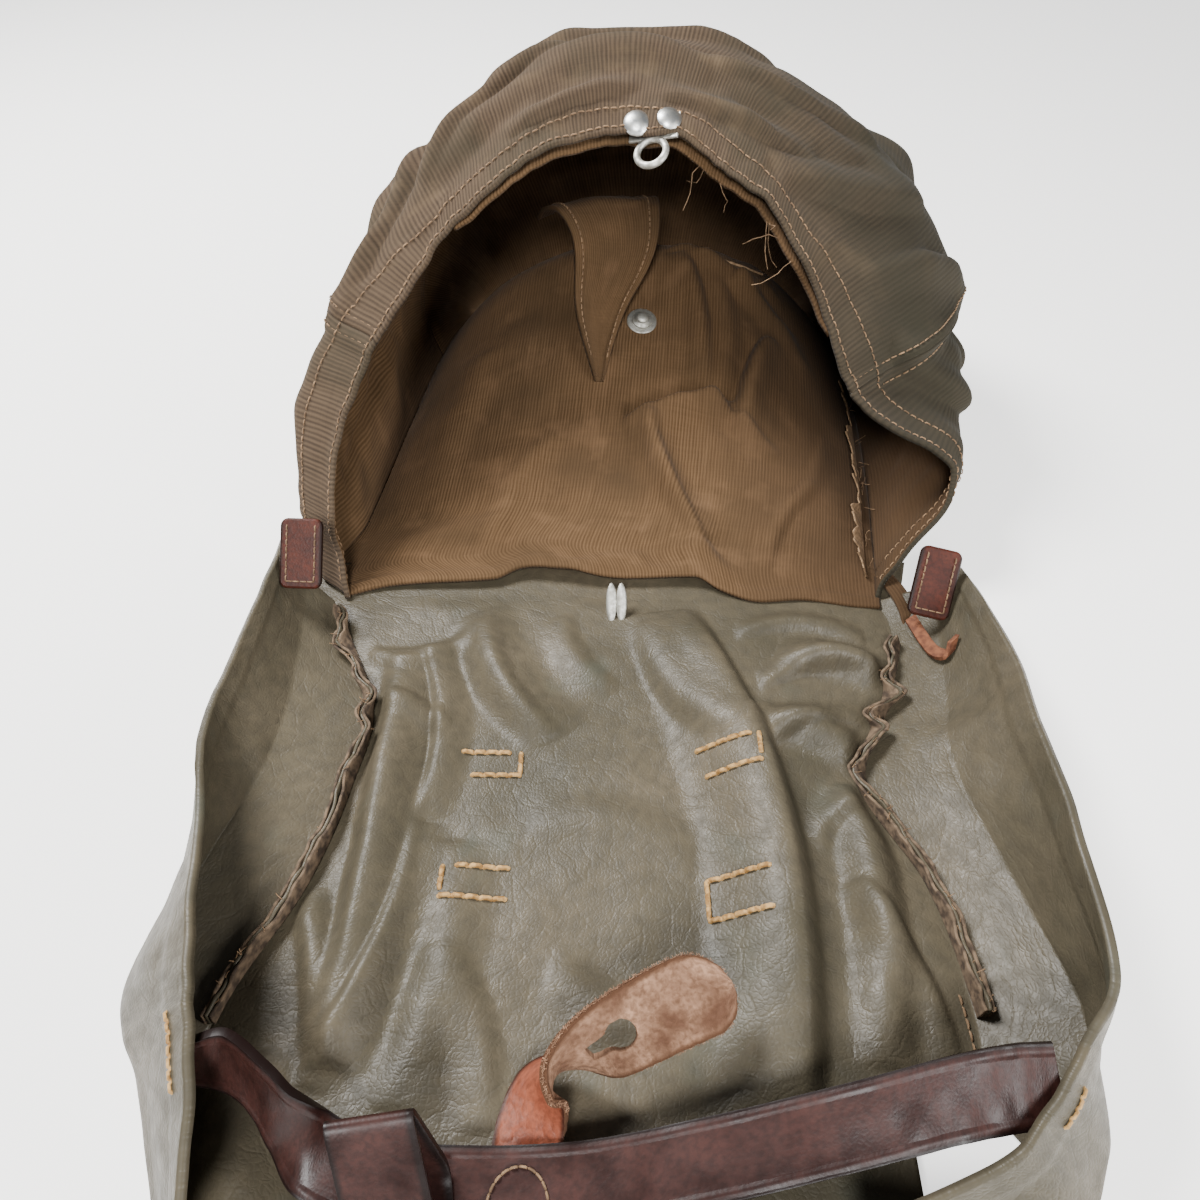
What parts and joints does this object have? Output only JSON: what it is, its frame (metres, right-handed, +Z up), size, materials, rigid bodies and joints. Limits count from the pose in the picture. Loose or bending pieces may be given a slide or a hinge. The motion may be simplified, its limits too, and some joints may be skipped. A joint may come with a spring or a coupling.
{
  "type": "bread bag",
  "caption": "Military-style bread bag lying open: an arched canvas pouch with its mouth towards the viewer and a grained vinyl lid with leather strap and keyhole tab folded out in front.",
  "frame": {"origin": "middle of the hinge seam between pouch and lid, on the surface that the bag lies on", "axes": "+X to the viewer's right, +Y from the lid into the pouch, +Z up"},
  "size_m": [0.3841, 0.628, 0.2139],
  "materials": {
    "canvas": "matte slubby weave",
    "vinyl": "grained, satin",
    "strap_leather": "polished",
    "tab_leather": "suede side up",
    "zinc": "worn pale metal",
    "chrome": "polished",
    "rusty_iron": "rusty"
  },
  "bodies": {
    "root": {"gusset_left": "canvas", "pouch_front": "canvas", "gusset_right": "canvas", "pouch_bottom": "canvas", "pouch_back": "canvas", "pocket_wall": "canvas", "inner_flap": "canvas", "lid_panel": "vinyl", "lid_wing_left": "vinyl", "lid_wing_right": "vinyl", "seam_edge_left": "vinyl", "seam_edge_right": "vinyl", "cross_strap": "strap_leather", "keeper_loop": "strap_leather", "corner_tab_left": "strap_leather", "corner_tab_right": "strap_leather", "closure_tab": "tab_leather", "eye_plate": "zinc", "snap_washer": "zinc", "snap_stud": "zinc", "staple": "zinc", "rivet_left": "chrome", "rivet_right": "chrome", "hook": "rusty_iron"}
  },
  "joints": []
}
